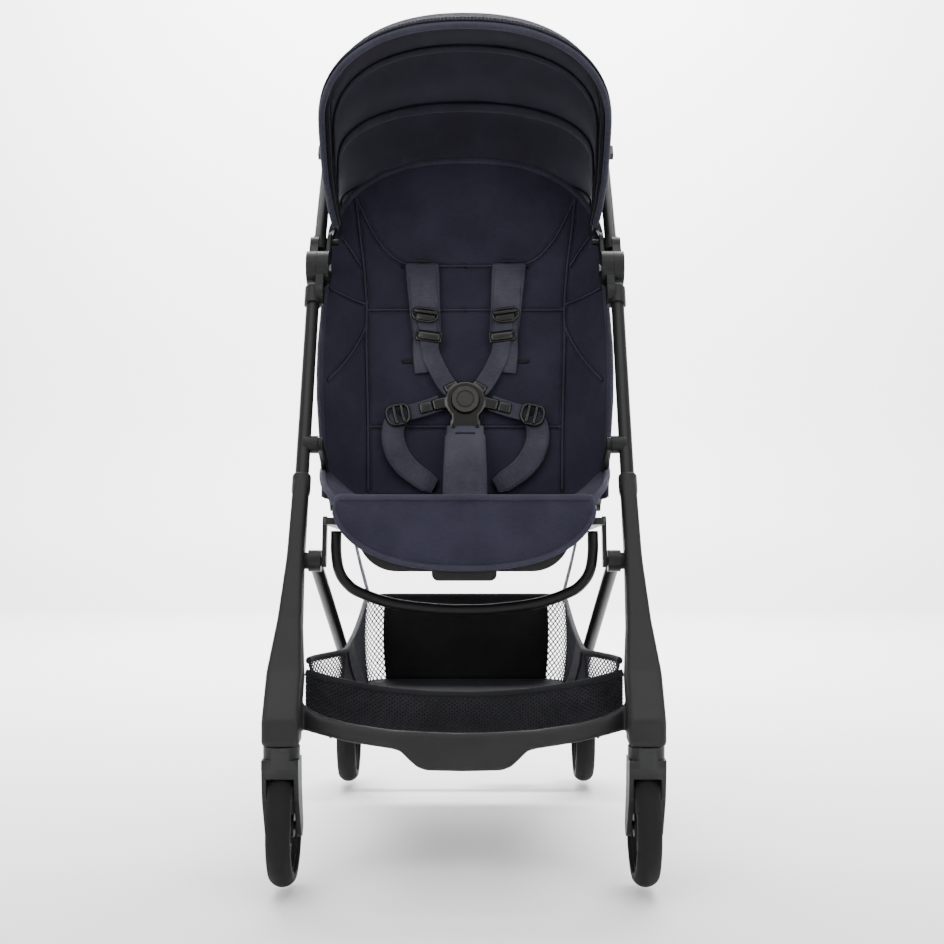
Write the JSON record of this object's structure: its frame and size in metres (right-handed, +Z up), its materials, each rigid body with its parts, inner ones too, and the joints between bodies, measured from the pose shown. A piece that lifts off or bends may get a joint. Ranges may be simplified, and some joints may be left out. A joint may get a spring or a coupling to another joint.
{
  "type": "baby stroller",
  "caption": "Compact folding baby stroller with a lined seat, harness, hooded canopy, hinged push handle, swivelling front casters and a storage basket",
  "frame": {"origin": "on the ground under the middle of the stroller's length and width", "axes": "+X to the right in the front view, +Y towards the back, +Z up"},
  "size_m": [0.4478, 0.7224, 1.0715],
  "materials": {
    "frame_tube": "satin black powder coat",
    "painted_plate": "satin black powder coat",
    "casting": "fine moulded grain",
    "moulded_plastic": "fine moulded grain",
    "steel_pin": "turned",
    "tyre": "matte rubber",
    "wheel_plastic": "satin moulded",
    "seat_fabric": "fine plain weave, dark navy",
    "canopy_fabric": "fine plain weave, dark navy",
    "canopy_binding": "grosgrain binding, grey navy",
    "webbing": "woven polyester webbing, grey navy",
    "basket_mesh": "open black mesh",
    "basket_fabric": "black coated cloth",
    "grip": "textured grip",
    "buckle_plastic": "satin",
    "button_plastic": "satin grey"
  },
  "bodies": {
    "chassis": {"front_leg_left": "casting", "front_leg_right": "casting", "leg_tube_left": "frame_tube", "leg_tube_right": "frame_tube", "front_crossbar": "casting", "hinge_housing_left": "moulded_plastic", "hinge_housing_right": "moulded_plastic", "fold_pins": "steel_pin", "seat_bracket_left": "painted_plate", "seat_bracket_right": "painted_plate", "seat_rail_left": "painted_plate", "seat_rail_right": "painted_plate", "seat_pan": "moulded_plastic", "recline_rod": "steel_pin", "seat_cushion": "seat_fabric", "seat_front_tube": "frame_tube", "seat_links": "painted_plate", "basket_floor": "basket_fabric", "basket_front": "basket_mesh", "basket_rear": "basket_fabric", "basket_sides": "basket_mesh", "basket_straps": "webbing", "canopy_rear_panel": "canopy_fabric", "crotch_strap": "webbing"},
    "handle": {"handle_knuckle_left": "moulded_plastic", "handle_knuckle_right": "moulded_plastic", "push_tube_left": "frame_tube", "push_tube_right": "frame_tube", "handlebar": "frame_tube", "handle_grips": "grip", "handle_housing": "moulded_plastic", "canopy_clips": "button_plastic"},
    "handle_button": {"fold_button": "button_plastic"},
    "canopy_middle": {"canopy_mid_panel": "canopy_fabric", "canopy_mid_bow": "moulded_plastic"},
    "canopy_front": {"canopy_visor": "canopy_fabric", "canopy_front_bow": "canopy_binding"},
    "backrest": {"back_shell": "moulded_plastic", "back_pad": "seat_fabric", "side_wings": "seat_fabric", "harness_straps": "webbing", "strap_fittings": "buckle_plastic", "harness_buckle": "buckle_plastic"},
    "buckle_press": {"buckle_button": "button_plastic"},
    "leg_rest": {"leg_rest_pad": "seat_fabric", "leg_rest_board": "moulded_plastic"},
    "rear_legs": {"rear_leg_left": "frame_tube", "rear_leg_right": "frame_tube", "rear_axle": "frame_tube"},
    "brake": {"brake_pedal": "moulded_plastic"},
    "rear_wheel_left": {"rear_tyre_left": "tyre", "rear_rim_left": "wheel_plastic"},
    "rear_wheel_right": {"rear_tyre_right": "tyre", "rear_rim_right": "wheel_plastic"},
    "caster_left": {"caster_fork_left": "casting"},
    "caster_right": {"caster_fork_right": "casting"},
    "front_wheel_left": {"front_tyre_left": "tyre", "front_rim_left": "wheel_plastic"},
    "front_wheel_right": {"front_tyre_right": "tyre", "front_rim_right": "wheel_plastic"}
  },
  "joints": [
    {"name": "handle_fold", "type": "hinge", "parent": "chassis", "child": "handle", "pos_m": [0, 0.00625, 0.736], "axis": [1, 0, 0], "range_deg": [0, 145]},
    {"name": "fold_button_press", "type": "slide", "parent": "handle", "child": "handle_button", "axis": [0, 0.7547, -0.6561], "range_m": [0, 0.003], "stiffness_N_per_m": 400},
    {"name": "rear_leg_fold", "type": "hinge", "parent": "chassis", "child": "rear_legs", "pos_m": [0, -0.19417, 0.36], "axis": [-1, 0, 0], "range_deg": [0, 70]},
    {"name": "brake_press", "type": "hinge", "parent": "rear_legs", "child": "brake", "pos_m": [0, 0.28625, 0.075], "axis": [-1, 0, 0], "range_deg": [0, 18]},
    {"name": "backrest_recline", "type": "hinge", "parent": "chassis", "child": "backrest", "pos_m": [0, 0.04125, 0.425], "axis": [-1, 0, 0], "range_deg": [-40, 35], "deforming": ["crotch_strap"]},
    {"name": "buckle_release", "type": "slide", "parent": "backrest", "child": "buckle_press", "axis": [0, 0.9659, -0.2588], "range_m": [0, 0.003], "stiffness_N_per_m": 400},
    {"name": "leg_rest_raise", "type": "hinge", "parent": "chassis", "child": "leg_rest", "pos_m": [0, -0.23375, 0.429], "axis": [-1, 0, 0], "range_deg": [0, 60]},
    {"name": "canopy_fold", "type": "hinge", "parent": "chassis", "child": "canopy_middle", "pos_m": [0, 0.03625, 0.775], "axis": [-1, 0, 0], "range_deg": [0, 44]},
    {"name": "visor_fold", "type": "hinge", "parent": "canopy_middle", "child": "canopy_front", "pos_m": [0, 0.03625, 0.775], "axis": [-1, 0, 0], "range_deg": [0, 14]},
    {"name": "caster_swivel_left", "type": "hinge", "parent": "chassis", "child": "caster_left", "pos_m": [-0.203, -0.31575, 0.19], "axis": [0, 0, 1], "continuous": true},
    {"name": "caster_swivel_right", "type": "hinge", "parent": "chassis", "child": "caster_right", "pos_m": [0.203, -0.31575, 0.19], "axis": [0, 0, 1], "continuous": true},
    {"name": "front_wheel_spin_left", "type": "hinge", "parent": "caster_left", "child": "front_wheel_left", "pos_m": [-0.203, -0.29375, 0.0675], "axis": [1, 0, 0], "continuous": true},
    {"name": "front_wheel_spin_right", "type": "hinge", "parent": "caster_right", "child": "front_wheel_right", "pos_m": [0.203, -0.29375, 0.0675], "axis": [1, 0, 0], "continuous": true},
    {"name": "rear_wheel_spin_left", "type": "hinge", "parent": "rear_legs", "child": "rear_wheel_left", "pos_m": [-0.1765, 0.28625, 0.075], "axis": [1, 0, 0], "continuous": true},
    {"name": "rear_wheel_spin_right", "type": "hinge", "parent": "rear_legs", "child": "rear_wheel_right", "pos_m": [0.1765, 0.28625, 0.075], "axis": [1, 0, 0], "continuous": true}
  ],
  "couplings": [
    {"joint": "rear_leg_fold", "follows": "handle_fold", "ratio": 0.48},
    {"joint": "visor_fold", "follows": "canopy_fold", "ratio": 0.31}
  ]
}
